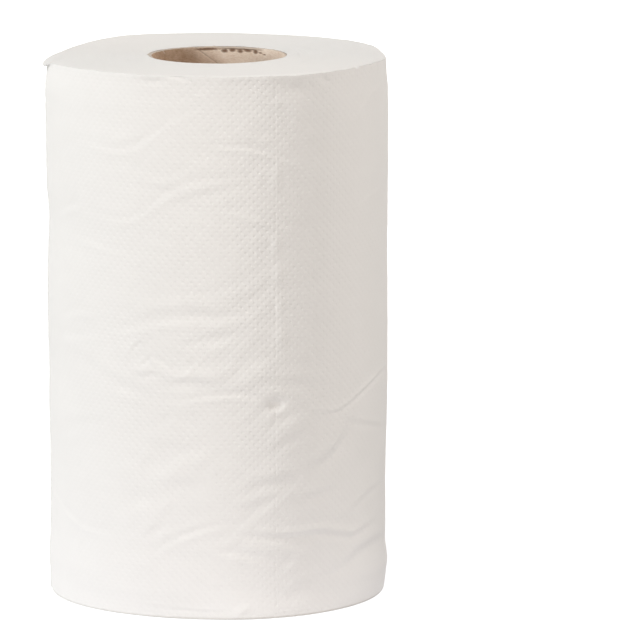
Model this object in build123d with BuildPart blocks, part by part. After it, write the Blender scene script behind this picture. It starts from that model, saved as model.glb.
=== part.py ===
from build123d import *
from math import acos, cos, degrees, radians
import os

# A roll of perforated paper towel on a cardboard core, standing on its end.
# Sizes are in millimetres. The origin is the middle of the lower end, and +Z runs up the core.
# Angles are in degrees, counter-clockwise from +X as seen from above. The front is -Y.

# The wound paper
roll_diameter = 127.5
roll_height = 203.0
foot_bevel = 1.2

# The last sheet of the web, whose free edge runs down the left side
sheet_thickness = 0.45
sheet_length = 282.0
tail_length = 68.0
tail_sink = 0.12
loose_top = 55.0
loose_gap = 1.3

# The row of slits between the last sheet and the one before it
perforation_angle = 289.6
slit_length = 7.5
slit_width = 0.5
slit_depth = 0.35
slit_pitch = 11.7

# The turns, which show on both ends as one spiral of stepped edges
turns_shown = 11
turn_step = 0.5
turn_flank = 0.5
turn_margin = 0.8
crest_clearance = 0.02

# The cardboard core
core_bore = 51.0
core_wall = 1.2
core_setback = 0.4

# Worked out from the sizes above
roll_radius = roll_diameter / 2
core_radius = core_bore / 2 + core_wall
tail_angle = perforation_angle + degrees(sheet_length / roll_radius)
leave_angle = tail_angle - degrees(tail_length / roll_radius)
tail_start = roll_radius - sheet_thickness / 2


def tail_section(gap):
    """One level slice of the tail: a band that leaves the roll and ends gap clear of it."""
    edge_radius = roll_radius + sheet_thickness + gap
    reach = cos(radians(tail_angle - leave_angle))
    shift = (edge_radius**2 - tail_start**2) / (2 * (tail_start - edge_radius * reach))
    outer_radius = tail_start + shift
    swept = acos((shift + edge_radius * reach) / outer_radius)
    center = Vector(-shift, 0).rotate(Axis.Z, leave_angle)
    with BuildLine() as outline:
        outer = CenterArc(center, outer_radius, leave_angle, degrees(swept))
        inner = CenterArc(center, outer_radius - sheet_thickness, leave_angle, degrees(swept))
        Line(outer @ 0, inner @ 0)
        Line(outer @ 1, inner @ 1)
    make_face(outline.edges())


# The hollows between the turns on the upper end. Each turn's edge drops off steeply, then slopes up
# to the crest of the next one out. The saw-toothed profile turns half way round one centre and half
# way round another, so that its teeth move out by one pitch in each full turn.
smallest = core_radius + turn_margin
largest = roll_radius - foot_bevel - turn_margin
turn_pitch = (largest - smallest) / (turns_shown + 1)
crest = roll_height - crest_clearance
with BuildPart() as turn_hollows:
    for half in range(2):
        direction = tail_angle + 180 * half
        outward = Vector(1, 0).rotate(Axis.Z, direction)
        center = outward * -turn_pitch / 4
        first = smallest + (half / 2 + 1 / 4) * turn_pitch
        profile = [(first, roll_height), (first, crest)]
        for turn in range(turns_shown):
            inner = first + turn * turn_pitch
            profile += [(inner + turn_flank, crest - turn_step), (inner + turn_pitch, crest)]
        profile += [(inner + turn_pitch, roll_height)]
        with BuildSketch(Plane(center, x_dir=outward, z_dir=outward.cross(Vector(0, 0, 1)))):
            with BuildLine():
                Polyline(profile, close=True)
            make_face()
        revolve(axis=Axis(center, (0, 0, 1)), revolution_arc=180)

with BuildPart() as paper_roll:
    with BuildSketch():
        Circle(roll_radius)
    extrude(amount=roll_height)
    chamfer(paper_roll.faces().sort_by(Axis.Z)[0].edges(), length=foot_bevel)

    # The last sheet lies flat up to its loose top, where its free edge lifts off
    for height, gap in (
        (foot_bevel, -tail_sink),
        (roll_height - loose_top, -tail_sink),
        (roll_height, loose_gap),
    ):
        with BuildSketch(Plane.XY.offset(height)):
            tail_section(gap)
    loft(ruled=True)

    with BuildSketch():
        Circle(core_radius)
    extrude(amount=roll_height, mode=Mode.SUBTRACT)

    add(turn_hollows.part, mode=Mode.SUBTRACT)
    mirror(turn_hollows.part, about=Plane.XY.offset(roll_height / 2), mode=Mode.SUBTRACT)

    outward = Vector(1, 0).rotate(Axis.Z, perforation_angle)
    wall = Plane(outward * roll_radius + Vector(0, 0, roll_height / 2), x_dir=(0, 0, 1), z_dir=outward)
    slit_count = int((roll_height - 2 * foot_bevel) // slit_pitch)
    with BuildSketch(wall):
        with GridLocations(slit_pitch, 0, slit_count, 1):
            Rectangle(slit_length, slit_width)
    extrude(amount=-slit_depth, mode=Mode.SUBTRACT)
paper_roll.part.label = "paper_roll"

with BuildPart() as core_tube:
    with BuildSketch(Plane.XY.offset(core_setback)):
        Circle(core_radius)
        Circle(core_bore / 2, mode=Mode.SUBTRACT)
    extrude(amount=roll_height - 2 * core_setback)
core_tube.part.label = "core_tube"

os.makedirs("parts", exist_ok=True)
export_step(paper_roll.part, "parts/paper_roll.step")
export_step(core_tube.part, "parts/core_tube.step")
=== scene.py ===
import math

import bpy
import numpy as np
from mathutils import Matrix, Vector


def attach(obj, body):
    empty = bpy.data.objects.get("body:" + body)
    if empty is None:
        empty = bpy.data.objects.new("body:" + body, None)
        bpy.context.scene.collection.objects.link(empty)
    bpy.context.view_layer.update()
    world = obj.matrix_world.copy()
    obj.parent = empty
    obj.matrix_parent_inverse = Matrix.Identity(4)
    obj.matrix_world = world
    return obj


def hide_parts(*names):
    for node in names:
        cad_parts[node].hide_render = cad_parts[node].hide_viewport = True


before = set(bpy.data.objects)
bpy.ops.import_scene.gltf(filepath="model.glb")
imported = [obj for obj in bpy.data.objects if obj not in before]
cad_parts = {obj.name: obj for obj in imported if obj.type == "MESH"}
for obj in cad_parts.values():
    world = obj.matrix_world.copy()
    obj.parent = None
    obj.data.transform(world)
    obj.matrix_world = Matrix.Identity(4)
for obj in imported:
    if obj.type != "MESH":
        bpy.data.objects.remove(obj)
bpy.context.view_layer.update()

# Shapes are worked out in millimetres in the part's frame and scaled to metres as each mesh is made.
# Angles are in degrees, counter-clockwise from +X as seen from above.
MM = 0.001
FRONT = 270
HEIGHT = 203.0
ROLL_R = 63.75
CORE_R = 26.7
BORE_R = 25.5
CORE_SETBACK = 0.4

# The edges of the turns on the ends. The innermost lie a little way over the ends of the core.
LIP_R = 26.15
TURN_PITCH = 0.44
RIDGE = 0.05

# The web runs back from its free edge: s goes along it and w across it, from the foot up.
# It is modelled for one turn and on under the tail.
SHEET = 0.45
TAIL_DEG = 183.05
TAIL = 68.0
LAST_SHEET = 282.0
ONE_TURN = 2 * math.pi * ROLL_R
WEB_END = ONE_TURN + 58.0
SLIT_PITCH = 11.7
SLIT_LENGTH = 7.5
SLIT_DEPTH = 0.08

# The strip below the upper rim that hangs down with it, and the radius from which the upper end sags
SAG_STRIP = 24
SAG_R = 40
# How far in from the roll's surface the outermost turns are crushed, and bent at the tail's corner
CRUSHED, BENT = 1.9, 1.5
# The strips at the foot and at the upper rim over which the roll spreads out
FOOT_STRIP = 11
RIM_FROM, RIM_STRIP = 199.5, 3

# At the tail's upper corner a narrow strip of the sheet flares out and hangs down: its height, how far it
# goes, and how far behind and ahead of the corner it begins
BRIM = 0.9
FLARE, FLARE_REACH = 1.8, (26, 16)
HANG, HANG_REACH = 0.75, (20, 14)

# The embossed dimples lie on a square lattice turned by 45 degrees, with rows and columns this far apart
CELL = 1.56
DIMPLE_R = 0.95
DIMPLE_DEPTH = 0.12

# A small brown speck on the upper end by the tail's corner, in metres
SPECK = (-0.0619, -0.006, 0.2006)


def noise(x, y, seed, wrap=128):
    """Smooth gradient noise of about -1 to 1 on a unit grid, which repeats after wrap cells of x."""
    angles = np.random.default_rng(seed).uniform(0, 2 * math.pi, (wrap, 128))
    gx, gy = np.cos(angles), np.sin(angles)
    x0, y0 = np.floor(x).astype(int), np.floor(y).astype(int)
    fx, fy = x - x0, y - y0
    ux, uy = (f**3 * (f * (6 * f - 15) + 10) for f in (fx, fy))
    total = 0.0
    for i in (0, 1):
        for j in (0, 1):
            cell = (x0 + i) % wrap, (y0 + j) % 128
            weight = (ux if i else 1 - ux) * (uy if j else 1 - uy)
            total = total + weight * (gx[cell] * (fx - i) + gy[cell] * (fy - j))
    return 1.5 * total


def smooth(x):
    """Eases from 0 to 1 as x does."""
    x = np.clip(x, 0, 1)
    return x * x * (3 - 2 * x)


def curve(x, points):
    """A smooth curve through (x, value) points, level beyond its ends."""
    xs, ys = (np.array(v, float) for v in zip(*points))
    slopes = np.zeros(len(xs))
    slopes[1:-1] = (ys[2:] - ys[:-2]) / (xs[2:] - xs[:-2])
    x = np.clip(np.asarray(x, float), xs[0], xs[-1])
    k = np.clip(np.searchsorted(xs, x, side="right") - 1, 0, len(xs) - 2)
    h = xs[k + 1] - xs[k]
    t = (x - xs[k]) / h
    return (
        (2 * t**3 - 3 * t**2 + 1) * ys[k]
        + (t**3 - 2 * t**2 + t) * h * slopes[k]
        + (3 * t**2 - 2 * t**3) * ys[k + 1]
        + (t**3 - t**2) * h * slopes[k + 1]
    )


def round_curve(angle, points):
    """A smooth curve through (angle, value) points for 0 to 360 degrees."""
    return curve(angle % 360, points)


def turned_from(angle, middle):
    """How many degrees an angle is past the middle one, from -180 to 180."""
    return (angle - middle + 180) % 360 - 180


def facing(angle, middle, start, width):
    """1 round the middle angle, and 0 where the cosine of the turn from it is below start."""
    return smooth((np.cos(np.radians(angle - middle)) - start) / width)


def polar(radius, angle, z):
    """Points from a radius, an angle and a height."""
    turned = np.radians(angle)
    return np.stack(np.broadcast_arrays(radius * np.cos(turned), radius * np.sin(turned), z), -1)


# How far the rim of the upper end hangs down, by angle: it sags round the loose tail and
# rises at the back
DROOP = [(0, 0.85), (6, 0.8), (11, 0.55), (14, 0.15), (18, -0.35), (24, -0.65), (36, -0.7), (45, -0.6),
         (60, -0.53), (72, -0.45), (90, -0.65), (104, -0.65), (112, -0.82), (124, -0.95), (133, -0.5),
         (139, -0.1), (144, 0.4), (150, 0.85), (157, 1.4), (163, 1.65), (172, 1.85), (178, 2.15), (183, 2.6),
         (187, 2.3), (191, 1.5), (196, 0.9), (201, 0.65), (206, 0.4), (212, 0.22), (217, 0.1), (227, 0),
         (239, -0.12), (247, 0.1), (256, -0.1), (264, -0.12), (275, 0), (318, 0), (328, -0.3), (337, -0.25),
         (344, 0.05), (351, 0.5), (360, 0.85)]
# How far the outermost turns are crushed below the upper end's flat, by angle
BEVEL = [(0, 0.3), (60, 0.25), (120, 0.2), (180, 0.25), (240, 0.3), (262, 0.45), (285, 0.35), (298, 0.6),
         (306, 0.45), (318, 0.35), (330, 0.4), (360, 0.3)]
# The size of the upper edge's small ups and downs, by angle
RAGGEDNESS = [(0, 0.16), (60, 0.06), (200, 0.05), (270, 0.08), (300, 0.16), (360, 0.16)]
# Small nicks in the upper edge: angle and depth
NICKS = [(308, 0.4), (324.3, 0.45), (334, 0.3), (342, 0.35), (286.5, 0.2)]
# How far the tail's inner side is off the turn below it at its free edge, by height
TAIL_GAP = [(0, -0.12), (180, -0.12), (203, -0.3)]
# The roll's own bulges, by height, at the right and at the left
BULGE_RIGHT = [(0, -1.2), (2.3, -0.9), (4.5, -0.55), (6.8, -0.25), (10.6, 0.3), (14, -0.05), (18, -0.45),
               (26, -0.35), (40, -0.35), (55, -0.3), (70, 0.1), (100, 0.25), (140, 0.2), (165, 0.5), (190, 0.3),
               (197, -0.2), (203, -0.5)]
BULGE_LEFT = [(0, -0.3), (3, -0.2), (7, -0.2), (10.6, 0), (14, 0.1), (18, -0.15), (26, -0.5), (41, -0.45),
              (56, -0.45), (71, -0.1), (86, -0.3), (101, 0.05), (117, 0.2), (132, -0.15), (143, -0.45),
              (154, 0.35), (166, 0.5), (177, 0.65), (186, 0.65), (191, 0.75), (196, 0.35), (203, -0.2)]
# How far the foot and the upper rim spread out, by angle
SPREAD = [(0, 0.3), (90, 0), (200, 0), (226, -0.2), (240, -0.5), (258, -0.3), (270, 0.3), (281, 1.2),
          (292, 1.5), (302, 1.6), (315, 1.2), (330, 0.8), (345, 0.5), (360, 0.3)]
RIM_SPREAD = [(0, 0), (225, 0), (242, 0.15), (290, 0.15), (306, 0.05), (360, 0)]
# The radius of the foot's rounded edge, by angle
FOOT_ROUNDING = [(0, 0.8), (90, 0.5), (180, 0.2), (210, 0.14), (320, 0.14), (340, 0.3), (360, 0.8)]


def web_angle(s):
    """Where a place along the web is on the roll."""
    return TAIL_DEG - np.degrees(s / ROLL_R)


def ragged_rim(angle):
    """Small ups and downs of the paper's upper edge, largest at the front right."""
    waves = noise(angle / 4, 1.5, 91, wrap=90) + 0.6 * noise(angle / 1.5, 3.5, 92, wrap=240)
    nicks = sum(depth * np.exp(-(((angle % 360 - place) / 0.5) ** 2)) for place, depth in NICKS)
    return round_curve(angle, RAGGEDNESS) * waves + nicks


def rim_drop(angle):
    """How far the paper's upper edge is below the flat of the end at the roll's own surface."""
    return round_curve(angle, DROOP) + round_curve(angle, BEVEL) + ragged_rim(angle)


def tail_lift(s, z):
    """How far the web's outer side stands out from the roll where the tail leaves it.

    The last few millimetres up to the free edge turn in again.
    """
    lift = np.clip(1 - s / TAIL, 0, None) ** 2 * (SHEET + curve(z, TAIL_GAP))
    return lift - 0.2 * smooth(1 - s / 5) * (s >= 0)


def body_bulge(angle, z):
    """How far the roll's surface is from a plain cylinder."""
    turned = np.radians(angle)
    right = np.clip(np.cos(turned), 0, None) ** 1.5
    left = np.clip(np.cos(turned - math.pi), 0, None) ** 3
    waves = 0.22 * noise(angle / 60, z / 70 + 3.3, 11, wrap=6) + 0.10 * noise(angle / 20, z / 26, 12, wrap=18)
    foot = round_curve(angle, SPREAD) * smooth(1 - z / FOOT_STRIP)
    rim = round_curve(angle, RIM_SPREAD) * smooth((z - RIM_FROM) / RIM_STRIP)
    return right * curve(z, BULGE_RIGHT) + left * curve(z, BULGE_LEFT) + foot + rim + waves


# Creases and puckers of the outer sheet: points as (degrees right of the front, height), then how far the
# line stands out as a ridge, how far the sheet steps out from its upper to its lower side, and its half width
CREASES = [
    # Folds over the upper part
    ([(-52.9, 176.1), (-45.1, 174.7), (-37.5, 173.8), (-31.1, 174.2), (-26.5, 176.4), (-22.8, 179.9),
      (-18.6, 183.1), (-13.1, 187.0), (-7.4, 189.8), (-4.4, 190.9)], 0, 0.065, 1.2),
    ([(-35.0, 177.2), (-28.7, 178.4), (-22.8, 181.4), (-18.6, 184.6)], 0, -0.045, 1.2),
    ([(-3.4, 177.6), (1.5, 176.5), (9.1, 176.0), (14.8, 174.3), (21.1, 171.8), (26.9, 169.7)], 0, 0.116, 0.9),
    ([(7.5, 179.0), (11.5, 178.9), (14.9, 177.3), (20.4, 176.6)], 0, -0.074, 1.4),
    ([(-25.5, 162.3), (-19.4, 161.6), (-13.2, 160.7)], 0, -0.076, 1.4),
    ([(-22.9, 163.2), (-16.6, 164.7), (-11.8, 167.1), (-7.1, 169.8)], 0, 0.052, 1.5),
    ([(-47.8, 149.8), (-40.7, 148.7), (-34.4, 147.9), (-29.6, 148.3), (-23.7, 152.8), (-18.7, 156.8),
      (-14.2, 160.7), (-9.1, 162.9), (-4.1, 163.5), (1.5, 164.3), (6.8, 164.9), (10.1, 165.2)], 0, 0.083, 1.3),
    ([(-17.3, 155.4), (-12.5, 157.4), (-8.5, 158.5), (-4.1, 160.2), (0.8, 161.3), (5.4, 162.8)], 0, -0.09, 1.5),
    ([(-67.1, 146.7), (-59.3, 149.7), (-50.4, 152.1)], 0, 0.089, 1.4),
    ([(-54.4, 139.2), (-45.4, 138.1), (-38.6, 136.6), (-33.6, 136.7)], 0, 0.074, 1.4),
    ([(-11.5, 152.6), (-7.5, 151.6), (-2.5, 150.6)], 0, 0.089, 2),
    ([(-0.9, 152.1), (5.7, 152.4), (10.1, 151.1), (14.8, 149.1)], 0, 0.066, 1.3),
    ([(9.4, 148.2), (13.4, 147.3), (17.6, 146.0)], 0, -0.074, 1.3),
    ([(16.9, 148.3), (22.5, 146.4), (28.0, 144.9)], 0, 0.074, 1.2),
    # Folds over the middle
    ([(-23.1, 119.7), (-14.3, 120.5), (-4.2, 120.8), (4.0, 123.0), (9.0, 125.9), (14.1, 129.0),
      (19.3, 132.1)], 0, 0.068, 1.8),
    ([(6.7, 118.9), (11.4, 121.7), (14.8, 124.2), (17.2, 127.4)], 0, -0.068, 1.4),
    ([(-26.8, 113.0), (-21.3, 114.6), (-16.0, 116.0), (-9.3, 116.6), (-2.6, 116.0), (2.4, 115.9),
      (5.3, 117.8)], 0, -0.112, 1.9),
    ([(-37.9, 106.0), (-29.8, 107.5), (-23.1, 109.8), (-14.3, 111.4), (-5.9, 111.8), (-1.0, 111.5), (4.0, 112.6),
      (9.0, 113.6), (14.8, 117.4), (17.9, 119.9)], 0, 0.127, 1.8),
    ([(-67.8, 99.3), (-53.6, 102.0), (-42.3, 103.9)], 0, 0.068, 1.5),
    ([(-67.7, 107.3), (-53.5, 111.5), (-43.2, 112.9)], 0, 0.068, 1.5),
    ([(-14.0, 103.7), (-5.9, 105.8), (-1.0, 107.4), (5.3, 108.4)], 0, -0.122, 1.5),
    ([(-6.0, 101.4), (0.7, 103.3), (5.7, 106.6)], 0, 0.074, 1.3),
    ([(-72.1, 96.7), (-53.6, 95.2), (-41.1, 91.3), (-32.7, 87.8), (-26.2, 85.8)], 0, -0.07, 2.2),
    ([(-38.0, 84.9), (-30.7, 83.5), (-24.3, 82.1)], 0, 0.068, 1.6),
    ([(-30.7, 97.7), (-29.5, 101.6), (-26.8, 103.7), (-25.0, 102.7)], 0, -0.136, 0.9),
    ([(-29.5, 94.8), (-26.1, 97.4), (-24.2, 100.5)], 0, 0.102, 0.9),
    ([(-29.1, 93.7), (-24.6, 94.9), (-22.4, 97.3), (-18.9, 95.3), (-15.4, 92.8)], 0, 0.122, 1),
    ([(-25.0, 100.5), (-23.5, 97.6), (-22.1, 95.8)], 0, -0.102, 0.7),
    ([(-29.5, 92.2), (-26.1, 91.0), (-22.5, 92.4), (-18.9, 91.1)], 0, -0.142, 1.1),
    ([(-19.6, 88.5), (-14.4, 89.5), (-7.7, 90.1), (-0.0, 88.7)], 0, -0.215, 1.8),
    ([(-16.1, 90.2), (-11.0, 92.3), (-8.6, 95.3), (-6.0, 98.4), (-3.6, 101.4)], 0, 0.092, 0.8),
    ([(-16.1, 93.5), (-14.1, 94.8), (-12.0, 93.0)], -0.164, 0, 0.8),
    ([(-7.3, 94.2), (-1.0, 93.9), (5.3, 95.7)], 0, 0.096, 2),
    ([(2.6, 85.3), (9.0, 87.0), (13.4, 88.7), (17.5, 90.0), (28.4, 88.8), (41.5, 85.4)], 0, -0.122, 1.9),
    ([(5.3, 89.8), (10.0, 92.6), (14.7, 96.1), (20.0, 98.8)], 0, 0.14, 2.2),
    ([(4.6, 92.8), (7.3, 98.3), (11.4, 102.7), (14.8, 106.6)], 0, -0.082, 1.8),
    ([(-14.1, 81.3), (-9.3, 82.2), (-4.3, 83.1), (1.3, 83.8), (7.3, 84.1), (12.3, 82.4),
      (15.4, 81.5)], 0, 0.145, 1.1),
    ([(16.8, 79.7), (19.6, 80.3), (22.1, 81.1)], -1.5, 0, 1.5),
    ([(5.9, 72.5), (10.6, 75.7), (14.0, 79.0)], 0, -0.082, 1.6),
    ([(16.1, 70.6), (18.2, 74.2), (19.2, 77.1)], 0, -0.082, 0.8),
    # Long folds in the lower right
    ([(34.7, 76.1), (40.7, 75.3), (45.3, 75.8), (50.4, 77.7), (56.1, 80.6), (63.0, 83.2), (71.2, 85.5),
      (80.4, 86.1)], 0, -0.32, 0.8),
    ([(33.5, 56.2), (38.5, 58.5), (42.9, 61.8), (46.8, 66.9), (49.3, 70.3)], 0, -0.558, 2.2),
    ([(3.9, 30.4), (7.2, 33.7), (10.6, 37.2), (14.7, 40.2), (19.2, 43.7), (24.6, 47.7), (28.4, 51.2),
      (32.7, 54.8)], 0, 0.099, 1.5),
    ([(48.3, 71.2), (53.7, 70.0), (63.0, 67.6), (78.5, 64.3)], 0, -0.181, 1.1),
    ([(18.2, 70.8), (23.9, 73.8), (29.1, 75.9)], 0, 0.153, 1.9),
    ([(16.1, 62.7), (22.4, 66.4), (30.7, 69.7)], 0, -0.131, 2),
    ([(20.3, 62.0), (24.6, 64.7), (28.4, 66.2)], 0, 0.11, 1.6),
    ([(7.9, 48.8), (13.3, 51.2), (21.0, 52.6), (29.1, 54.5)], 0, -0.23, 2.2),
    ([(8.6, 46.5), (14.7, 47.7), (23.2, 49.0)], 0, 0.068, 1.8),
    ([(6.5, 42.4), (11.3, 43.4), (16.4, 45.4)], 0, -0.134, 1.9),
    ([(26.8, 43.8), (33.1, 45.3), (42.5, 46.7)], 0, -0.275, 1.7),
    ([(44.4, 33.6), (53.2, 38.2), (63.1, 42.1), (78.6, 43.9)], 0, -0.176, 1.4),
    ([(8.2, 33.0), (14.7, 31.5), (21.0, 30.7), (28.4, 30.8), (33.1, 31.0), (38.5, 30.6), (44.4, 29.0),
      (51.5, 27.1), (59.5, 28.7), (66.5, 30.3)], 0, -0.335, 1.3),
    ([(28.4, 33.4), (38.5, 33.3), (53.8, 29.7)], 0, 0.08, 1.6),
    ([(14.0, 30.4), (19.2, 28.6), (24.6, 26.2), (29.1, 24.6), (33.5, 27.5)], 0, 0.118, 1.6),
    ([(-0.2, 24.8), (4.5, 27.8), (9.2, 30.7)], 0, -0.083, 1.6),
    ([(-1.8, 25.2), (5.5, 24.0), (10.6, 22.7), (13.6, 21.6)], 0, 0.145, 1.3),
    ([(5.8, 26.6), (14.7, 24.7), (21.7, 22.0)], 0, -0.12, 1.5),
    ([(21.0, 16.7), (24.6, 19.4), (27.6, 22.5)], 0, 0.145, 1.6),
    ([(38.5, 14.7), (47.8, 17.4), (55.0, 20.7), (64.8, 22.7), (81.0, 22.3)], 0, -0.358, 2),
    ([(22.0, 7.2), (28.3, 11.8), (35.5, 13.6)], 0, -0.173, 2),
    # Puckers and folds in the lower left
    ([(-27.0, 62.0), (-20.4, 66.3), (-14.1, 68.5)], 0, -0.109, 2.8),
    ([(-27.8, 55.1), (-24.1, 59.2), (-20.4, 62.5)], 0, -0.091, 2),
    ([(-19.0, 76.9), (-16.9, 72.5)], -0.182, 0, 2.4),
    ([(-15.5, 75.6), (-9.4, 77.0), (-4.7, 78.2)], 0, -0.091, 2.2),
    ([(-21.2, 53.4), (-16.9, 57.1), (-12.1, 60.4), (-6.7, 62.4)], 0, 0.164, 2.6),
    ([(-7.4, 55.2), (-4.7, 58.7), (-1.7, 61.3)], 0, -0.091, 1.8),
    ([(-19.8, 49.4), (-12.8, 51.7), (-5.4, 53.4)], 0, -0.127, 2.6),
    ([(-33.3, 39.8), (-27.1, 42.0), (-21.6, 43.2)], 0, 0.146, 2.8),
    ([(-21.3, 35.3), (-17.7, 40.1), (-15.2, 45.2)], 0, -0.109, 1.6),
    ([(-25.6, 31.2), (-22.7, 33.3), (-19.8, 35.5)], 0, -0.127, 1.7),
    ([(-22.3, 30.7), (-17.7, 33.3)], 0, 0.091, 1.3),
    ([(-23.1, 21.6), (-18.1, 26.7), (-13.6, 29.6), (-9.5, 31.7), (-4.5, 33.7), (2.2, 35.2),
      (6.5, 35.3)], 0, 0.123, 1.2),
    ([(-14.9, 31.2), (-9.5, 33.7), (-3.5, 35.7)], 0, -0.082, 1.2),
    ([(-86.8, 39.5), (-70.9, 37.8), (-63.6, 33.9), (-54.2, 30.7), (-46.2, 29.8), (-35.8, 28.9)], 0, 0.07, 1.3),
    ([(-88.6, 33.4), (-73.4, 32.0), (-65.3, 29.0)], 0, -0.043, 1.5),
    ([(-49.9, 9.0), (-31.1, 10.2), (-18.2, 9.9), (-4.5, 9.3)], 0, 0.013, 1.2),
    ([(-4.2, 9.3), (6.5, 10.4), (16.7, 10.6)], 0, 0.066, 1.6),
    ([(-75.4, 64.9), (-53.8, 71.4), (-39.0, 73.9)], 0, -0.035, 2.2),
    ([(-68.4, 62.0), (-48.4, 68.8), (-35.6, 71.3)], 0, 0.035, 2),
    # On the upper rim and the right side
    ([(-27.1, 201.5), (-22.0, 201.2), (-17.1, 202.4)], -0.06, -0.13, 1.1),
    ([(-16.8, 203.0), (-13.7, 202.3), (-9.7, 201.3)], -0.352, 0.08, 0.6),
    ([(22.2, 200.2), (26.9, 199.2), (32.7, 199.1)], 0, -0.352, 2.2),
    ([(12.8, 199.2), (16.9, 199.7), (21.1, 201.0)], 0, -0.08, 2),
    ([(18.3, 193.0), (20.8, 194.0), (22.6, 192.8)], 0, 0.112, 1.4),
    ([(36.3, 202.2), (37.6, 200.6), (40.6, 198.4)], -0.48, 0, 0.7),
    ([(14.5, 179.5), (16.6, 180.9)], 0, 0.096, 1.5),
    ([(79.4, 195.9), (64.3, 193.1), (54.8, 186.8), (47.2, 178.8)], 0, -0.108, 0.8),
    ([(77.8, 157.2), (59.9, 153.9), (50.3, 149.2)], 0, -0.064, 0.9),
    ([(70.8, 203.4), (70.8, 199.3)], 0.32, 0, 0.5),
    ([(38.1, 203.4), (38.3, 201)], -0.3, 0, 0.6),
    ([(54.3, 203.4), (54.6, 199.5)], 0.2, 0, 0.5),
    ([(64.2, 203.4), (64.6, 200.8)], 0.25, 0, 0.5),
    # Along the perforation, where the sheet stands up in short ridges
    ([(26.2, 194.1), (27.7, 187.3), (27.3, 179.9)], 0.285, 0, 2),
    ([(30.3, 183.0), (31.9, 180.3), (31.1, 176.6)], 0.152, 0, 1.5),
    ([(20.0, 169.6), (19.9, 164.8), (19.7, 160.0)], 0.285, 0, 1.25),
    ([(14.0, 168.1), (13.8, 165.1), (13.6, 161.0)], 0.152, 0, 1.1),
    ([(20.0, 144.0), (19.8, 139.9), (19.8, 136.2)], 0.285, 0, 1.2),
    ([(17.4, 143.4), (17.5, 140.4), (17.4, 137.4)], -0.114, 0, 0.7),
    ([(20.0, 133.6), (20.7, 129.0), (20.0, 123.9)], 0.361, 0, 1.6),
    ([(21.2, 120.1), (21.1, 116.3), (21.1, 112.2)], 0.266, 0, 1.2),
    ([(18.9, 119.8), (18.9, 116.5), (18.8, 113.1)], -0.171, 0, 0.7),
    ([(21.8, 110.7), (21.4, 105.8), (21.8, 99.8)], 0.361, 0, 1.7),
    # Near the foot, where the sheet's lower edge is turned
    ([(-27.3, 4.9), (-21.7, 4.3), (-17.1, 4.1), (-9.6, 3.7), (-2.2, 3.3), (5.8, 3.2)], 0, -0.09, 0.6),
    ([(4.8, 0.6), (6.8, 2.8), (10.2, 4.4)], 0.35, 0, 1),
    ([(-5.2, 3.2), (-4.9, 1.0)], -0.15, 0, 0.5),
]


def crease_height(angle, z):
    """What the creases add to the radius. Distances are along the surface, in millimetres."""
    along = turned_from(angle, FRONT) * math.pi / 180 * ROLL_R
    total = np.zeros_like(along)
    for points, ridge, step, width in CREASES:
        px = np.array([math.radians(a) * ROLL_R for a, _ in points])
        pz = np.array([h for _, h in points])
        reach = 4 * width
        near = (
            (along > px.min() - reach) & (along < px.max() + reach)
            & (z > pz.min() - reach) & (z < pz.max() + reach)
        )
        x, y = along[near], z[near]
        runs = np.hypot(np.diff(px), np.diff(pz))
        starts = np.concatenate([[0], np.cumsum(runs)])
        best = np.full(x.shape, np.inf)
        side = np.zeros(x.shape)
        where = np.zeros(x.shape)
        for k, run in enumerate(runs):
            ux, uz = (px[k + 1] - px[k]) / run, (pz[k + 1] - pz[k]) / run
            t = np.clip((x - px[k]) * ux + (y - pz[k]) * uz, 0, run)
            dx, dz = x - px[k] - t * ux, y - pz[k] - t * uz
            d = np.hypot(dx, dz)
            closer = d < best
            best = np.where(closer, d, best)
            side = np.where(closer, ux * dz - uz * dx, side)
            where = np.where(closer, (starts[k] + t) / starts[-1], where)
        # The line fades out at its ends. A step is at its full height one half width from the line.
        fade = np.sin(math.pi * np.clip(where, 0.04, 0.96)) ** 0.6
        falling = np.exp(-((best / width) ** 2) / 2)
        total[near] += fade * falling * (ridge - 1.65 * step * side / width)
    return total


def dimples(s, w):
    """The embossing, as 0 on the flat and 1 in the middle of a dimple."""
    u, v = (s + w) / CELL / 2, (s - w) / CELL / 2
    du, dv = u - np.round(u), v - np.round(v)
    return smooth(1 - CELL * np.sqrt(2 * (du**2 + dv**2)) / DIMPLE_R)


# How deep the embossing is, by degrees right of the front: it is pressed flatter at the left
EMBOSSED = [(-90, 0.3), (-75, 0.06), (-50, 0.15), (-20, 0.31), (0, 0.42), (12, 0.53), (25, 0.57), (35, 0.53),
            (50, 0.34), (75, 0.22), (100, 0.4)]


def embossing(angle, z):
    """How deep the dimples are pressed, as a share of their full depth: less near the top and the foot."""
    near_top, near_foot = smooth((z - 150) / 30), smooth((85 - z) / 60)
    level = curve(turned_from(angle, FRONT), EMBOSSED) * (1 - 0.1 * near_top) * (1 - 0.4 * near_foot)
    return level * (1 + 0.3 * noise(angle / 12, z / 14, 31, wrap=30))


def slits(s, w):
    """The perforation between the last sheet and the one before it, as 1 in the middle of a slit."""
    along = np.abs(((w - HEIGHT / 2) / SLIT_PITCH + 0.5) % 1 - 0.5) * SLIT_PITCH
    return smooth(1 - np.abs(s - LAST_SHEET) / 0.3) * smooth(SLIT_LENGTH / 2 + 0.5 - along)


def crumple(angle, z):
    """Fine irregular waves of the loose outer sheet."""
    along = angle / 360
    fine = noise(along * 96, z / 4.2, 21, wrap=96) * 0.035
    flat = noise(along * 24, z / 5.5, 22, wrap=24) * 0.05
    broad = noise(along * 36, z / 16, 23, wrap=36) * 0.07
    return fine + flat + broad


def near_corner(s, behind, ahead):
    """1 at the tail's corner and in the turn right below it, down to 0 that far behind and ahead of it."""
    under = s - ONE_TURN
    beyond = np.where(under > 0, 1 - under / behind, 1 + under / ahead)
    return smooth(np.maximum(1 - s / behind, beyond))


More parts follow.
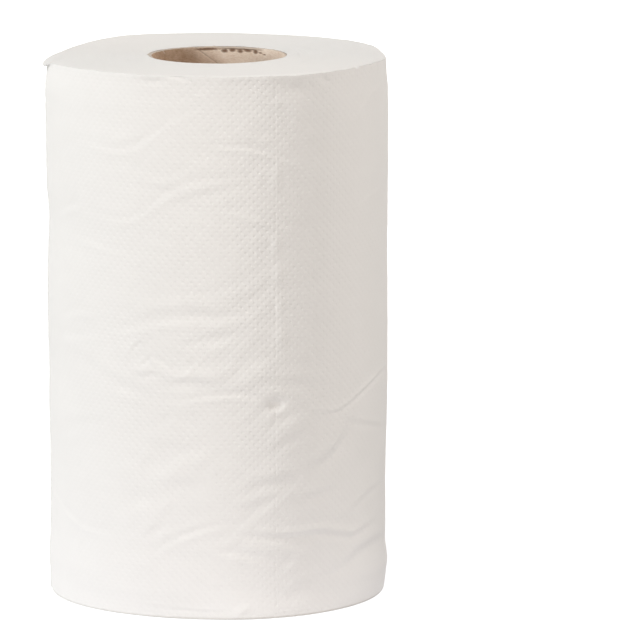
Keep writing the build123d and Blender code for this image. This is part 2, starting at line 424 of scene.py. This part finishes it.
def web_points(s, w, depth):
    """Where points of the web are, depth millimetres inside its outer side."""
    angle = web_angle(s)
    z = w - rim_drop(angle) * np.clip((w - (HEIGHT - SAG_STRIP)) / SAG_STRIP, 0, 1) ** 2
    r = ROLL_R + body_bulge(angle, z) + tail_lift(s, z)
    r = r + crease_height(angle, z) + crumple(angle, z)
    fade = smooth(w / 1.2) * smooth((HEIGHT - w) / 1.0)
    r = r - DIMPLE_DEPTH * embossing(angle, z) * fade * dimples(s, w) - SLIT_DEPTH * slits(s, w)

    # Under the tail the web dips inside it, as the turn before does, and its upper edge ends below the rim
    under = s - ONE_TURN
    inner = ROLL_R + body_bulge(angle, z) + tail_lift(under, z) - SHEET - 0.03
    r = r + (np.minimum(r, inner) - r) * smooth((under + 20) / 20)
    z = z - 0.6 * smooth((under - 50) / 6) * (w > HEIGHT - 2)

    # The foot is rounded where the roll has been stood on it
    foot = round_curve(angle, FOOT_ROUNDING)
    r = r - foot + np.sqrt(np.clip(foot**2 - np.clip(foot - z, 0, None) ** 2, 0, None))
    r = r - depth * (1 + 0.3 * smooth(1 - s / 4))

    # The free edge is torn along its perforation, and the upper edge flares out at the tail's corner
    torn = 0.35 * noise(3.3, w / 1.6, 41) + 0.25 * np.cos(2 * math.pi * w / SLIT_PITCH)
    angle = angle - np.degrees(torn * np.clip(1 - s / 2.5, 0, 1) / ROLL_R)
    brim = np.clip((w - (HEIGHT - BRIM)) / BRIM, 0, 1)
    r = r + FLARE * near_corner(s, *FLARE_REACH) * brim
    z = z - HANG * near_corner(s, *HANG_REACH) * brim
    return polar(r, angle, z)


def web_grid():
    """The lattice of the web's points: s by row and column, w by row, and which rows are shifted."""
    step = CELL * 2 / 3
    columns = np.arange(int(WEB_END / step) + 1) * step
    k = int(LAST_SHEET / step)
    perforation = LAST_SHEET + np.array([-0.3, 0, 0.3])
    even = np.concatenate([columns[:k], perforation, columns[k + 1 :]])
    odd = np.concatenate([columns[:k] + step / 2, perforation, columns[k + 1 :] + step / 2])
    odd[0], odd[-1] = even[0], even[-1]
    count = int(HEIGHT / (step / 2))
    w = np.concatenate([[0, 0.1, 0.26], np.arange(1, count) * step / 2, [HEIGHT - 0.3, HEIGHT - 0.1, HEIGHT]])
    shifted = np.concatenate([[0, 0, 0], np.arange(1, count) % 2, [0, 0, 0]]).astype(bool)
    s = np.where(shifted[:, None], odd[None], even[None])
    return s, w, shifted


def lattice_faces(index, shifted):
    """Triangles between neighbouring rows of an index grid, facing out of the roll."""
    faces = []
    for row in range(len(index) - 1):
        low, high = index[row], index[row + 1]
        if shifted[row + 1] and not shifted[row]:
            faces.append(np.stack([low[:-1], high[:-1], low[1:]], -1))
            faces.append(np.stack([low[1:], high[:-1], high[1:]], -1))
        else:
            faces.append(np.stack([low[:-1], high[:-1], high[1:]], -1))
            faces.append(np.stack([low[:-1], high[1:], low[1:]], -1))
    return np.concatenate(faces)


def strip_faces(*rows):
    """Triangles between rows of indices that lie straight above one another."""
    return lattice_faces(np.stack(rows), [False] * len(rows))


def grid_corners(index):
    """The four corners of each cell of an index grid."""
    return index[:-1, :-1], index[1:, :-1], index[1:, 1:], index[:-1, 1:]


def face_crosses(points, faces):
    """Each triangle's normal, as long as twice its area."""
    corners = points[faces]
    return np.cross(corners[:, 1] - corners[:, 0], corners[:, 2] - corners[:, 0])


def vertex_normals(points, faces):
    """The mean normal of the triangles round each point."""
    normals = np.zeros_like(points)
    crosses = face_crosses(points, faces)
    for k in range(3):
        for axis in range(3):
            normals[:, axis] += np.bincount(faces[:, k], crosses[:, axis], len(points))
    return normals / np.maximum(np.linalg.norm(normals, axis=1, keepdims=True), 1e-12)


def make_piece(name, points, faces, material, web=None, normals=None, flat=False, replaced=()):
    """Makes a mesh piece from points in millimetres and rides it on the object."""
    used, inverse = np.unique(faces, return_inverse=True)
    mesh = bpy.data.meshes.new(name)
    mesh.from_pydata(points[used] * MM, [], inverse.reshape(faces.shape))
    if web is not None:
        layer = mesh.attributes.new("web", "FLOAT_VECTOR", "POINT")
        layer.data.foreach_set("vector", (web[used] * MM).astype(np.float32).ravel())
    mesh.polygons.foreach_set("use_smooth", np.full(len(mesh.polygons), not flat))
    if normals is not None:
        mesh.normals_split_custom_set_from_vertices(normals[used])
    mesh.materials.append(material)
    mesh.update()
    piece = bpy.data.objects.new(name, mesh)
    bpy.context.scene.collection.objects.link(piece)
    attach(piece, "root")
    if replaced:
        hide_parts(*replaced)


def empty_tree(owner):
    """The cleared node tree of a material or world."""
    owner.use_nodes = True
    owner.node_tree.nodes.clear()
    return owner.node_tree


def node(tree, kind, inputs=None, **settings):
    """Adds a node, sets its properties and inputs, and links the inputs that are given as sockets."""
    made = tree.nodes.new(kind)
    for key, value in settings.items():
        setattr(made, key, value)
    for key, value in (inputs or {}).items():
        if isinstance(value, bpy.types.NodeSocket):
            tree.links.new(value, made.inputs[key])
        else:
            made.inputs[key].default_value = value
    return made


def math_node(tree, operation, a, b=0.0, c=0.0):
    """The result of a sum on sockets or numbers."""
    return node(tree, "ShaderNodeMath", {0: a, 1: b, 2: c}, operation=operation).outputs[0]


def map_range(tree, value, start, end, low=0.0, high=1.0, kind="LINEAR"):
    """Maps start to end onto low to high."""
    inputs = {0: value, 1: start, 2: end, 3: low, 4: high}
    return node(tree, "ShaderNodeMapRange", inputs, interpolation_type=kind).outputs[0]


def mix(tree, share, first, second):
    """Blends from the first colour to the second."""
    return node(tree, "ShaderNodeMix", {0: share, 6: first, 7: second}, data_type="RGBA").outputs[2]


def distance(tree, place, point):
    """How far places are from a point."""
    return node(tree, "ShaderNodeVectorMath", {0: place, 1: point}, operation="DISTANCE").outputs["Value"]


def fibres(tree, place, scale, detail, roughness, height_scale=1.0):
    """Noise for fibres, which may be drawn out or pressed together along the height."""
    if height_scale != 1.0:
        inputs = {"Vector": place, "Scale": (1.0, 1.0, height_scale)}
        place = node(tree, "ShaderNodeMapping", inputs).outputs[0]
    inputs = {"Vector": place, "Scale": scale, "Detail": detail, "Roughness": roughness}
    return node(tree, "ShaderNodeTexNoise", inputs).outputs[0]


def weighted(tree, first, second, share):
    """The sum of two values, of which the first has the given share."""
    first = math_node(tree, "MULTIPLY", first, share)
    return math_node(tree, "ADD", first, math_node(tree, "MULTIPLY", second, 1 - share))


def web_attribute(tree):
    """The x, y and z of the values that a mesh carries for its material."""
    web = node(tree, "ShaderNodeAttribute", attribute_name="web").outputs["Vector"]
    return node(tree, "ShaderNodeSeparateXYZ", {0: web}).outputs


def surface(material, colour, height, strength, reach, roughness, specular):
    """Finishes a material with a colour, a bump of some height, strength and reach, and its gloss."""
    tree = material.node_tree
    bump = node(tree, "ShaderNodeBump", {"Strength": strength, "Distance": reach, "Height": height})
    inputs = {"Base Color": colour, "Normal": bump.outputs[0]}
    inputs |= {"Roughness": roughness, "Specular IOR Level": specular}
    shader = node(tree, "ShaderNodeBsdfPrincipled", inputs)
    node(tree, "ShaderNodeOutputMaterial", {"Surface": shader.outputs[0]})
    return material


def paper_material(name, embossed):
    """White tissue. Where it is embossed, a bump sharpens the dimples of the mesh."""
    material = bpy.data.materials.new(name)
    tree = empty_tree(material)
    place = node(tree, "ShaderNodeTexCoord").outputs["Object"]
    mottle = fibres(tree, place, 55.0, 4.0, 0.6)
    fibre = fibres(tree, place, 2600.0, 3.0, 0.65, height_scale=0.35)
    tone = weighted(tree, mottle, fibre, 0.55)
    height = math_node(tree, "MULTIPLY", fibre, 0.12)
    colour = mix(tree, tone, (0.88, 0.865, 0.835, 1), (0.925, 0.91, 0.88, 1))
    if embossed:
        along, across, depth = web_attribute(tree)
        half = 1 / (2 * CELL * MM)
        u = math_node(tree, "MULTIPLY", math_node(tree, "ADD", along, across), half)
        v = math_node(tree, "MULTIPLY", math_node(tree, "SUBTRACT", along, across), half)
        lattice = node(tree, "ShaderNodeCombineXYZ", {0: u, 1: v}).outputs[0]
        cells = node(tree, "ShaderNodeTexVoronoi", {"Vector": lattice, "Scale": 1.0, "Randomness": 0.0},
                     voronoi_dimensions="2D").outputs["Distance"]
        pit = map_range(tree, cells, 0.02, 0.36, -1.0, 0.0, "SMOOTHSTEP")
        height = math_node(tree, "MULTIPLY_ADD", pit, math_node(tree, "MULTIPLY", depth, 1 / MM), height)
    else:
        speck = map_range(tree, distance(tree, place, SPECK), 0.0003, 0.0009, 0.55, 0.0)
        colour = mix(tree, speck, colour, (0.55, 0.32, 0.17, 1))
    return surface(material, colour, height, 1.0, 0.0002, 0.92, 0.2)


# The joint of the core's inner strip climbs to the left as it nears the mouth: the height at one angle, and
# the rise per degree
JOINT_DEG, JOINT_Z, JOINT_RISE = 107.9, 202.2, 0.316


def cardboard_material():
    """Brown board, painted lighter where the key lamp falls in the mouth and darker (painted shade) on its left
    and down the core, with the joint of its strip and the marks that the mesh carries, some of them painted
    shade.
    """
    material = bpy.data.materials.new("cardboard")
    tree = empty_tree(material)
    place = node(tree, "ShaderNodeTexCoord").outputs["Object"]
    coarse = fibres(tree, place, 160.0, 5.0, 0.65)
    fine = fibres(tree, place, 900.0, 4.0, 0.7, height_scale=3.0)
    tone = map_range(tree, weighted(tree, coarse, fine, 0.45), 0.34, 0.66)
    # A shaded and a lit copy of the board's colour, for painted shade and painted light in the bore
    shaded_board = mix(tree, tone, (0.36, 0.24, 0.155, 1), (0.6, 0.44, 0.32, 1))
    light = mix(tree, tone, (0.76, 0.6, 0.47, 1), (1.0, 0.9, 0.78, 1))

    # The fine dark line where the edges of the inner strip meet. Above the joint, where the key lamp lights the
    # mouth, the lit copy of the board is painted, and below it, on the left of the mouth and down the core, the
    # shaded copy: painted light and painted shade.
    x, y, z = node(tree, "ShaderNodeSeparateXYZ", {0: place}).outputs
    turned = math_node(tree, "MULTIPLY", math_node(tree, "ARCTAN2", y, x), 180 / math.pi)
    turned = math_node(tree, "WRAP", math_node(tree, "SUBTRACT", turned, JOINT_DEG), 180.0, -180.0)
    climb = math_node(tree, "MULTIPLY", turned, JOINT_RISE * MM)
    above = math_node(tree, "SUBTRACT", math_node(tree, "SUBTRACT", z, climb), JOINT_Z * MM)
    away = math_node(tree, "PINGPONG", above, 180 * JOINT_RISE * MM)
    line = map_range(tree, away, 0.00008, 0.0003, 0.4, 0.0)
    lit_share = map_range(tree, above, -0.007, 0.006, kind="SMOOTHSTEP")
    seamed = mix(tree, line, mix(tree, lit_share, shaded_board, light), (0.2, 0.13, 0.09, 1))

    # Cut and torn edges are paler, and the hollows under them are darkened with painted shade
    pale_and_shade = math_node(tree, "MULTIPLY", web_attribute(tree)[2], 1 / MM)
    pale = mix(tree, pale_and_shade, seamed, (0.62, 0.54, 0.46, 1))
    # The dark brown is painted shade in the hollows under the torn strip
    both = mix(tree, math_node(tree, "MULTIPLY", pale_and_shade, -1.0), pale, (0.22, 0.135, 0.085, 1))
    return surface(material, both, tone, 0.6, 0.0001, 0.85, 0.25)


# The camera that was fitted to the photo
LENS = 386.1
CAMERA_AT = (0, -2.556, 0.526)
CAMERA_DOWN, CAMERA_RIGHT = 9.419, 0.864


def make_camera():
    """The photo's view: from the front, a little above, with a long lens."""
    pitch, yaw = math.radians(CAMERA_DOWN), math.radians(CAMERA_RIGHT)
    forward = Vector((math.sin(yaw) * math.cos(pitch), math.cos(yaw) * math.cos(pitch), -math.sin(pitch)))
    right = Vector((math.cos(yaw), -math.sin(yaw), 0))
    up = right.cross(forward)
    data = bpy.data.cameras.new("camera")
    data.sensor_width = 36
    data.lens = LENS
    data.clip_start, data.clip_end = 0.05, 50
    camera = bpy.data.objects.new("camera", data)
    turn = Matrix((right, up, -forward)).transposed().to_4x4()
    camera.matrix_world = Matrix.Translation(CAMERA_AT) @ turn
    bpy.context.scene.collection.objects.link(camera)
    bpy.context.scene.camera = camera


def make_web(material):
    """The outer turn and the tail, in three pieces that meet on shared points."""
    s, w, shifted = web_grid()
    columns = s.shape[1]
    w = np.repeat(w[:, None], columns, 1)
    tail_end = int(np.searchsorted(s[0], TAIL)) + 1
    # The outer side, over the upper and the lower edge, a little way down inside, and the tail's inner side
    layers = {
        "outer": (s, w, 0.0),
        "middle": (s[-1:], w[-1:] + 0.03, SHEET / 2),
        "within": (s[-1:], w[-1:], SHEET),
        "foot": (s[:1], w[:1], SHEET / 2),
        "tuck": (s[-1:], w[-1:] - 1.6, SHEET),
        "inner": (s[:, :tail_end], w[:, :tail_end], SHEET),
    }
    points, webs, index = [], [], {}
    start = 0
    for name, (along, across, depth) in layers.items():
        index[name] = np.squeeze(start + np.arange(along.size).reshape(along.shape))
        start += along.size
        along, across = along.ravel(), across.ravel()
        points.append(web_points(along, across, depth))
        webs.append(np.stack([along, across, embossing(web_angle(along), across)], -1))
    points, webs = np.concatenate(points), np.concatenate(webs)
    outer, middle, within, foot, tuck, inner = index.values()

    skin = lattice_faces(outer, shifted)
    over = strip_faces(outer[-1], middle, within)
    tucked = strip_faces(within, tuck)
    under = strip_faces(foot, outer[0])
    inside = lattice_faces(inner, shifted)[:, ::-1]
    over_tail = strip_faces(outer[-1][:tail_end], middle[:tail_end], inner[-1])
    under_tail = strip_faces(inner[0], foot[:tail_end], outer[0][:tail_end])
    edge = strip_faces(outer[:, 0], inner[:, 0])

    # A face belongs to the piece of its last column
    rest = np.concatenate([skin, over, tucked, under])
    column_of = np.full(len(points), -1)
    for name in ("outer", "middle", "within", "foot", "tuck"):
        column_of[index[name]] = np.arange(columns)
    highest = column_of[rest].max(1)
    in_tail = column_of[skin].max(1) < tail_end
    perforated = int(np.argmin(np.abs(s[0] - LAST_SHEET)))
    groups = {
        "tail": np.concatenate([skin[in_tail], inside, over_tail, under_tail, edge]),
        "last_sheet": rest[(highest >= tail_end) & (highest <= perforated)],
        "sheet_before": rest[highest > perforated],
    }
    normals = vertex_normals(points, np.concatenate(list(groups.values())))
    # The thin free edge takes the light as the sheet's outer side does
    normals[inner[:, 0]] = normals[outer[:, 0]]
    for name, faces in groups.items():
        replaced = ("paper_roll",) if name == "last_sheet" else ()
        make_piece(name, points, faces, material, webs, normals, replaced=replaced)


def turn_height(r, angle, seed):
    """How far the edges of the turns stand up from the flat of an end."""
    turns = (r - LIP_R) / TURN_PITCH
    length = turns + angle / 360
    uneven = 0.05 * noise(angle / 20, length / 2.5, seed, wrap=18)
    terraces = 0.09 * noise(angle / 60, length / 9, seed + 1, wrap=6)
    fuzz = 0.035 * noise(angle / 3, length, seed + 2, wrap=120)
    return uneven + terraces + fuzz


def merged(points, faces):
    """The same mesh with coinciding points made one. Triangles that then repeat or have no area go."""
    _, first, inverse = np.unique(np.round(points, 4), axis=0, return_index=True, return_inverse=True)
    faces = inverse.reshape(-1)[faces]
    points = points[first]
    real = (faces[:, 0] != faces[:, 1]) & (faces[:, 1] != faces[:, 2]) & (faces[:, 0] != faces[:, 2])
    faces = faces[real]
    faces = faces[np.linalg.norm(face_crosses(points, faces), axis=1) > 1e-5]
    _, once = np.unique(np.sort(faces, 1), axis=0, return_index=True)
    return points, faces[np.sort(once)]


def make_end(name, material, top):
    """The edges of all the turns on one end, as one spiral of ridges."""
    around = 288
    step = np.arange(around + 1)[None, :]
    angle = TAIL_DEG + step * 360 / around
    behind = np.radians((TAIL_DEG - angle) % 360) * ROLL_R
    if top:
        # Out to the inside of the web's flared edge
        limit = ROLL_R - 0.14 + body_bulge(angle, HEIGHT)
        limit = limit + FLARE * near_corner(behind, *FLARE_REACH) + tail_lift(behind, HEIGHT)
        seed = 51
    else:
        limit = ROLL_R - 1.6 + body_bulge(angle, 0.5)
        seed = 61
    ring = np.arange(-2, int((limit.max() - LIP_R) / (TURN_PITCH / 2)) + 3)[:, None]
    ragged = LIP_R + 0.12 * noise(angle / 4, 4.4, 81, wrap=90)
    ragged = ragged - 0.25 * facing(angle, 180, 0.5, 0.4)
    r = np.clip(LIP_R + TURN_PITCH / 2 * (ring + 2 * step / around), ragged, limit)
    height = np.where(ring % 2 == 0, -0.5, 0.5) * RIDGE + turn_height(r, angle % 360, seed)
    height = height * smooth((limit + 0.01 - r) / 0.5)
    if top:
        # The upper end sags towards its rim, and the outermost turns are crushed
        sagging = round_curve(angle, DROOP) * np.clip((r - SAG_R) / (limit - SAG_R), 0, 1) ** 2
        low = (round_curve(angle, BEVEL) + ragged_rim(angle)) * smooth((r - (ROLL_R - CRUSHED)) / CRUSHED)
        z = HEIGHT - 0.1 * smooth((limit - r) / 1.2) + height - sagging - low
        turned_down = np.clip((r - (ROLL_R - BENT)) / (limit - (ROLL_R - BENT)), 0, 1)
        z = z - HANG * near_corner(behind, *HANG_REACH) * turned_down**2
    else:
        z = 0.22 - height
    points = polar(r, angle, z).reshape(-1, 3)
    a, b, c, d = grid_corners(np.arange(len(points)).reshape(r.shape))
    faces = np.concatenate([np.stack([a, b, c], -1).reshape(-1, 3), np.stack([a, c, d], -1).reshape(-1, 3)])
    # The clipping brought points together, and the two ends of each ring meet
    points, faces = merged(points, faces)
    make_piece(name, points, faces if top else faces[:, ::-1], material, flat=True)


# Where the torn inner strip stands off at the back of the core's mouth and shades the wall below it, which also
# gets painted shade there: angle and height, then half the width in degrees and half the height
SCALLOPS = [(98.5, 201.8, 12, 0.55), (83.6, 201.1, 3.2, 0.85), (77.1, 201.4, 3.2, 0.75),
            (70.2, 201.1, 3.0, 0.8), (63.3, 201.45, 4.6, 0.65), (55.7, 201.2, 2.6, 0.9), (70, 201.9, 20, 0.2),
            (50.8, 200.95, 2.2, 0.3), (46.5, 200.45, 2, 0.25)]


def scallops(angle, z):
    """How deep points of the bore lie in the hollows under the torn strip, from 0 to 1, which also sets how much
    shade is painted there.
    """
    ragged = 1 + 0.3 * noise(angle / 1.7, z / 0.7, 75, wrap=128)
    total = 0.0
    for place, height, wide, high in SCALLOPS:
        away = ((angle - place) / wide) ** 2 + ((z - height) / high) ** 2
        total = np.maximum(total, smooth((1.4 - away * ragged) / 1.4))
    return total


# A pale fibre that hangs over the mouth at the back left: where it begins, how far it goes to the right and
# down, and its half width
FIBRE_DEG, FIBRE_TOP = 147, 202.9
FIBRE_TURN, FIBRE_DROP = 3.7, 1.25
FIBRE_WIDTH = 0.22
# Millimetres to a degree on the bore
BORE_DEGREE = 0.445


def pale_fibre(angle, z):
    """1 on the pale fibre, fading to 0 beside it."""
    along = np.clip((FIBRE_DEG - angle) / FIBRE_TURN, 0, 1)
    turned = (angle - (FIBRE_DEG - FIBRE_TURN * along)) * BORE_DEGREE
    away = np.hypot(turned, z - (FIBRE_TOP - FIBRE_DROP * along))
    return np.exp(-((away / FIBRE_WIDTH) ** 2))


# The torn edge runs between these angles, above this height
TORN_FROM, TORN_TO, TORN_Z = 46, 95, 201.75


def torn_strip(angle, z):
    """How much points of the bore lie on the torn edge above the hollows, from 0 to 1."""
    along = smooth((angle - TORN_FROM) / 5) * smooth((TORN_TO - angle) / 4)
    lower = TORN_Z + 0.2 * noise(angle / 2.4, 1.7, 76, wrap=150)
    return along * smooth((z - lower) / 0.25) * (1 - scallops(angle, z))


def pressed_in(angle):
    """How much the mouth is pressed in at the back left, which shows its cut end there, from 0 to 1."""
    return facing(angle, 145, 0.5, 0.3)


def bore_radius(angle, z):
    """The core's uneven inside, with a groove along the joint of its strip."""
    joint = (z - (JOINT_Z + JOINT_RISE * turned_from(angle, JOINT_DEG))) % (360 * JOINT_RISE)
    joint = np.minimum(joint, 360 * JOINT_RISE - joint)
    groove = 0.16 * np.exp(-((joint / 0.4) ** 2))
    oval = (0.4 * np.cos(np.radians(angle)) - 0.45 * pressed_in(angle)) * smooth((z - 185) / 18)
    waves = 0.08 * noise(angle / 30, z / 22, 73, wrap=12)
    return BORE_R + oval + waves + groove + 0.15 * scallops(angle, z) - 0.25 * torn_strip(angle, z)


def make_core(material):
    """The wound cardboard tube, with the joint of its inner strip, a torn edge and a rough cut end."""
    around = 448
    angle = np.arange(around) * 360 / around
    top, foot = HEIGHT - CORE_SETBACK, CORE_SETBACK
    ragged = 0.14 * noise(angle / 5, 2.2, 71, wrap=72) + 0.06 * noise(angle / 1.8, 5.2, 72, wrap=200)
    ragged = ragged + 0.22 * facing(angle, 110, -0.2, 0.4)
    rings, marks = [], []

    def ring(radius, z, pale_and_shade):
        rings.append(polar(radius, angle, z))
        marks.append(np.broadcast_to(pale_and_shade, angle.shape))

    # Up the bore, where 1 marks cut or torn edges and -1 the hollows that get painted shade
    ring(bore_radius(angle, foot), foot, 1.0)
    for depth in np.concatenate([[0.3, 1.2, 4.0], np.linspace(9, 100, 14)]):
        ring(bore_radius(angle, foot + depth), foot + depth, 0.0)
    depths = np.concatenate([np.arange(0, 2.6, 0.16), np.geomspace(2.8, 8, 12), np.linspace(9, 100, 34)])
    for depth in depths[::-1][1:]:
        z = top - depth
        # The hollows under the torn strip are marked for painted shade
        shaded_hollow = scallops(angle, z)
        pale_and_shade = np.maximum(smooth(1 - depth / 0.2), 0.75 * torn_strip(angle, z)) * (1 - shaded_hollow) - 0.95 * shaded_hollow
        ring(bore_radius(angle, z), z + ragged * math.exp(-depth / 0.5), pale_and_shade + 0.8 * pale_fibre(angle, z))
    # Over the cut end and down the outside
    mouth = bore_radius(angle, top)
    for share in (0.1, 0.3, 0.5, 0.7, 0.9):
        layers = 0.05 * math.cos(share * math.pi * 5)
        grain = 0.08 * noise(angle / 3, share * 5, 74, wrap=120)
        ring(mouth + share * (CORE_R - mouth), top + ragged + layers + grain, 1.0)
    ring(CORE_R, top - 0.1, 1.0)
    ring(CORE_R, top - 2.0, 0.0)
    ring(CORE_R, foot + 2.0, 0.0)
    ring(CORE_R, foot, 1.0)
    ring((BORE_R + CORE_R) / 2, foot + 0.05, 1.0)
    points = np.concatenate(rings)
    index = np.arange(len(points)).reshape(len(rings), around)
    index = np.concatenate([index, index[:1]])
    index = np.concatenate([index, index[:, :1]], 1)
    faces = np.stack(grid_corners(index), -1).reshape(-1, 4)
    web = np.concatenate(marks)[:, None] * np.array([[0, 0, 1]])
    make_piece("core_detail", points, faces, material, web, replaced=("core_tube",))


def area_light(name, azimuth, elevation, reach, size, power, colour):
    """A soft light that faces the roll's middle. Azimuth 0 is in front and 90 is on the right."""
    a, e = math.radians(azimuth), math.radians(elevation)
    way = Vector((math.sin(a) * math.cos(e), -math.cos(a) * math.cos(e), math.sin(e)))
    data = bpy.data.lights.new(name, "AREA")
    data.shape = "RECTANGLE"
    data.size, data.size_y = size
    data.energy = power
    data.color = colour
    light = bpy.data.objects.new(name, data)
    light.location = Vector((0, 0, 0.1)) + way * reach
    light.rotation_mode = "QUATERNION"
    light.rotation_quaternion = (-way).to_track_quat("-Z", "Y")
    light.visible_camera = False
    bpy.context.scene.collection.objects.link(light)
    return light


def foot_light():
    """The light that the bright table throws up on the foot of the roll."""
    light = area_light("table", 0, 0, 1.0, (0.25, 0.25), 0.06, (0.865, 0.87, 1.0))
    light.location = Vector((-0.035, -0.02, 0.0006))
    light.rotation_quaternion = Vector((0, 0, 1)).to_track_quat("-Z", "Y")


# How bright the studio's white surroundings are as light
AMBIENT = 0.08
WHITE = (1, 1, 1, 1)

# The floor as the lamps see it. It throws up less light from a patch at the right, behind the roll's foot.
FLOOR_GREY = (0.4, 0.4, 0.4, 1)
PATCH_GREY = (0.06, 0.06, 0.06, 1)
PATCH_AT = (0.1, 0.07, 0.0)


def seen_as_white(tree):
    """1 for the rays from the camera, also through gloss and glass, and 0 for all light on the object."""
    path = node(tree, "ShaderNodeLightPath").outputs
    through = math_node(tree, "MAXIMUM", path["Is Glossy Ray"], path["Is Transmission Ray"])
    return math_node(tree, "MAXIMUM", path["Is Camera Ray"], through)


def make_floor():
    """A round floor that looks white and keeps the object's shadow."""
    radius, around = 4, 96
    turns = [2 * math.pi * k / around for k in range(around)]
    mesh = bpy.data.meshes.new("floor")
    points = [(radius * math.cos(turn), radius * math.sin(turn), 0) for turn in turns]
    mesh.from_pydata(points, [], [list(range(around))])
    floor = bpy.data.objects.new("floor", mesh)
    bpy.context.scene.collection.objects.link(floor)
    material = bpy.data.materials.new("floor")
    tree = empty_tree(material)
    place = node(tree, "ShaderNodeNewGeometry").outputs["Position"]
    patch = map_range(tree, distance(tree, place, PATCH_AT), 0.04, 0.15, 1.0, 0.0, "SMOOTHSTEP")
    diffuse = node(tree, "ShaderNodeBsdfDiffuse", {"Color": mix(tree, patch, FLOOR_GREY, PATCH_GREY)})
    away = node(tree, "ShaderNodeVectorMath", {0: place}, operation="LENGTH").outputs["Value"]
    level = map_range(tree, away, 0.25, 1.1, 0.88, 1.0, "SMOOTHSTEP")
    level = math_node(tree, "MULTIPLY_ADD", patch, 0.12, level)
    strength = math_node(tree, "MULTIPLY", seen_as_white(tree), level)
    glow = node(tree, "ShaderNodeEmission", {"Color": WHITE, "Strength": strength})
    both = node(tree, "ShaderNodeAddShader", {0: diffuse.outputs[0], 1: glow.outputs[0]})
    node(tree, "ShaderNodeOutputMaterial", {"Surface": both.outputs[0]})
    mesh.materials.append(material)


def make_world():
    """White surroundings that light the object only a little."""
    world = bpy.data.worlds.new("world")
    bpy.context.scene.world = world
    tree = empty_tree(world)
    level = math_node(tree, "MAXIMUM", seen_as_white(tree), AMBIENT)
    white = node(tree, "ShaderNodeBackground", {"Color": WHITE, "Strength": level})
    node(tree, "ShaderNodeOutputWorld", {"Surface": white.outputs[0]})


# The lamps: name, azimuth, elevation, distance, size, power and colour
LAMPS = [
    ("key", -57, 48, 1.9, (0.35, 0.35), 16.8, (1.0, 0.995, 0.99)),
    ("key_low", -61, 5, 1.9, (0.35, 0.25), 2.1, (0.8, 0.93, 1.0)),
    ("rear_left", -110, 10, 1.7, (0.7, 0.5), 8.9, (1.0, 0.998, 0.99)),
    ("front_low", -18, 5, 1.9, (0.5, 0.25), 7.2, (1.0, 0.97, 0.955)),
    ("right_front", 35, 20, 1.8, (0.8, 0.5), 10.6, (1.0, 0.923, 0.868)),
    ("rear_right", 115, 25, 1.8, (0.7, 0.7), 12.7, (1.0, 0.972, 0.953)),
    ("rear", 180, 8, 1.8, (0.8, 0.4), 5.0, (1.0, 1.0, 1.0)),
    ("top", 0, 86, 1.6, (1.2, 1.2), 2.4, (1.0, 1.0, 1.0)),
]

make_camera()
edges = paper_material("paper_edges", False)
make_web(paper_material("paper_embossed", True))
make_end("turns_top", edges, True)
make_end("turns_foot", edges, False)
make_core(cardboard_material())
make_floor()
make_world()
for lamp in LAMPS:
    area_light(*lamp)
foot_light()
bpy.context.scene.view_settings.view_transform = "Standard"
